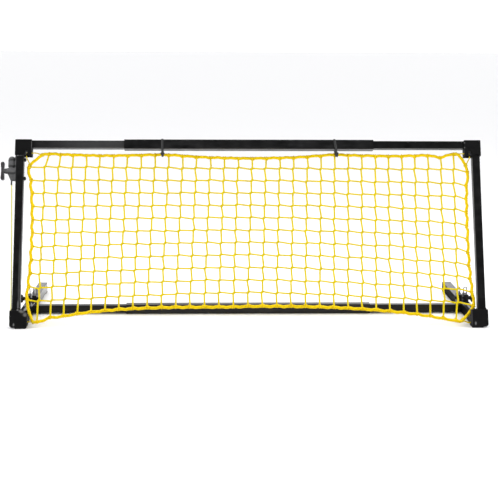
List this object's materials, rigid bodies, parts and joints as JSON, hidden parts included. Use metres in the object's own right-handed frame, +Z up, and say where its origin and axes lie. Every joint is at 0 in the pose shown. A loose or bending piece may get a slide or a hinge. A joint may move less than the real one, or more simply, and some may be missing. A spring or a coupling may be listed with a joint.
{
  "type": "low practice goal net",
  "caption": "Low, wide practice goal: a square-tube frame that leans back on two floor legs, with a corded net laced inside, a cord winder on one post and a clamp on each leg.",
  "frame": {"origin": "on the floor, under the middle of the footprint", "axes": "+X across the goal to the right as seen from in front, +Y back from the front, +Z up"},
  "size_m": [1.5846, 0.5388, 0.5864],
  "materials": {
    "powder_coated_steel": "satin black powder coat with a fine texture",
    "moulded_plastic": "satin black moulded plastic",
    "winder_plastic": "semi-matt black moulded plastic",
    "black_rubber": "matt black rubber",
    "yellow_cord": "bright yellow twisted cord",
    "pale_cord": "pale yellow braided cord",
    "grey_wire": "dull grey wire",
    "black_screws": "black coated screws",
    "spring_steel": "bright spring steel"
  },
  "bodies": {
    "frame": {"post_left": "powder_coated_steel", "post_right": "powder_coated_steel", "crossbar_tube_left": "powder_coated_steel", "crossbar_tube_right": "powder_coated_steel", "crossbar_sleeve": "powder_coated_steel", "crossbar_bushes": "moulded_plastic", "corner_block_top_left": "moulded_plastic", "corner_block_top_right": "moulded_plastic", "corner_block_bottom_left": "moulded_plastic", "corner_block_bottom_right": "moulded_plastic", "leg_left": "powder_coated_steel", "leg_right": "powder_coated_steel", "leg_end_cap_left": "black_rubber", "leg_end_cap_right": "black_rubber", "rear_bar_tube_left": "powder_coated_steel", "rear_bar_tube_right": "powder_coated_steel", "rear_bar_sleeve": "powder_coated_steel", "rear_bar_bushes": "moulded_plastic", "rear_bar_plugs": "moulded_plastic", "rear_bar_bolts": "black_screws", "foot_pad_left": "black_rubber", "foot_pad_right": "black_rubber", "corner_screws": "black_screws", "net_mesh": "yellow_cord", "net_hem_rope": "yellow_cord", "lacing_cord_top_left": "yellow_cord", "lacing_cord_top_right": "yellow_cord", "lacing_cord_bottom_right": "yellow_cord", "tension_cord": "pale_cord", "cable_tie_left": "moulded_plastic", "cable_tie_right": "moulded_plastic", "winder_housing": "winder_plastic", "winder_pawl": "spring_steel", "winder_screws": "black_screws", "cord_ferrule": "winder_plastic"},
    "winder_knob": {"winder_wing_knob": "winder_plastic", "winder_spool": "winder_plastic"},
    "leg_clamp_left": {"leg_clamp_left": "moulded_plastic", "peg_loops_left": "grey_wire", "clamp_nut_left": "moulded_plastic"},
    "leg_clamp_right": {"leg_clamp_right": "moulded_plastic", "peg_loops_right": "grey_wire", "clamp_nut_right": "moulded_plastic"},
    "clamp_knob_left": {"clamp_knob_left": "moulded_plastic"},
    "clamp_knob_right": {"clamp_knob_right": "moulded_plastic"}
  },
  "joints": [
    {"name": "winder_turn", "type": "hinge", "parent": "frame", "child": "winder_knob", "pos_m": [-0.76285, -0.07393, 0.48164], "axis": [1, 0, 0], "continuous": true},
    {"name": "leg_clamp_slide_left", "type": "slide", "parent": "frame", "child": "leg_clamp_left", "axis": [0, 1, 0], "range_m": [-0.0173, 0.221]},
    {"name": "clamp_knob_turn_left", "type": "hinge", "parent": "leg_clamp_left", "child": "clamp_knob_left", "pos_m": [-0.74305, -0.01707, 0.0415], "axis": [1, 0, 0], "continuous": true},
    {"name": "leg_clamp_slide_right", "type": "slide", "parent": "frame", "child": "leg_clamp_right", "axis": [0, 1, 0], "range_m": [-0.0173, 0.221]},
    {"name": "clamp_knob_turn_right", "type": "hinge", "parent": "leg_clamp_right", "child": "clamp_knob_right", "pos_m": [0.78135, -0.01707, 0.0415], "axis": [1, 0, 0], "continuous": true}
  ]
}
